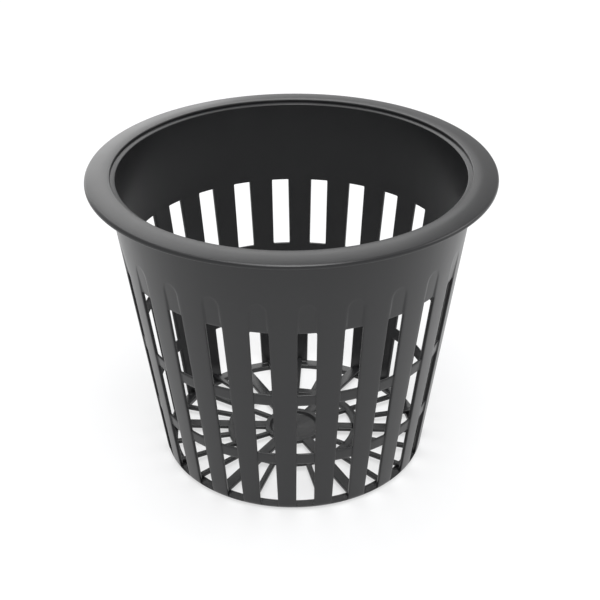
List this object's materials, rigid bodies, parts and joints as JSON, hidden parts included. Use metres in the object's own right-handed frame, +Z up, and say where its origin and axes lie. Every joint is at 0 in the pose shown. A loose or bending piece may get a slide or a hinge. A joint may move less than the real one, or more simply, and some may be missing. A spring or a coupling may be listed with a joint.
{
  "type": "net pot",
  "caption": "Tapering slotted basket pot with a wide flat lip, hooped side bars and a ribbed open base, for growing a plant with its roots hanging through the wall.",
  "frame": {"origin": "on the axis of the pot, in the plane that its foot ring stands on", "axes": "+Z up along the axis of the pot, towards the mouth; +X and +Y each run through the middle of a slot"},
  "size_m": [0.102, 0.102, 0.0801],
  "materials": {
    "black_plastic": "moulded polypropylene, near black, satin, with soft highlights along its edges"
  },
  "bodies": {
    "root": {"lip_ring": "black_plastic", "upper_wall": "black_plastic", "upper_hoop": "black_plastic", "lower_hoop": "black_plastic", "foot_ring": "black_plastic", "base_ring": "black_plastic", "base_spider": "black_plastic", "side_bar_01": "black_plastic", "side_bar_02": "black_plastic", "side_bar_03": "black_plastic", "side_bar_04": "black_plastic", "side_bar_05": "black_plastic", "side_bar_06": "black_plastic", "side_bar_07": "black_plastic", "side_bar_08": "black_plastic", "side_bar_09": "black_plastic", "side_bar_10": "black_plastic", "side_bar_11": "black_plastic", "side_bar_12": "black_plastic", "side_bar_13": "black_plastic", "side_bar_14": "black_plastic", "side_bar_15": "black_plastic", "side_bar_16": "black_plastic", "side_bar_17": "black_plastic", "side_bar_18": "black_plastic", "side_bar_19": "black_plastic", "side_bar_20": "black_plastic", "side_bar_21": "black_plastic", "side_bar_22": "black_plastic", "side_bar_23": "black_plastic", "side_bar_24": "black_plastic", "base_rib_01": "black_plastic", "base_rib_02": "black_plastic", "base_rib_03": "black_plastic", "base_rib_04": "black_plastic", "base_rib_05": "black_plastic", "base_rib_06": "black_plastic", "base_rib_07": "black_plastic", "base_rib_08": "black_plastic", "base_rib_09": "black_plastic", "base_rib_10": "black_plastic", "base_rib_11": "black_plastic", "base_rib_12": "black_plastic", "base_rib_13": "black_plastic", "base_rib_14": "black_plastic", "base_rib_15": "black_plastic", "base_rib_16": "black_plastic", "base_rib_17": "black_plastic", "base_rib_18": "black_plastic", "base_rib_19": "black_plastic", "base_rib_20": "black_plastic", "base_rib_21": "black_plastic", "base_rib_22": "black_plastic", "base_rib_23": "black_plastic", "base_rib_24": "black_plastic"}
  },
  "joints": []
}
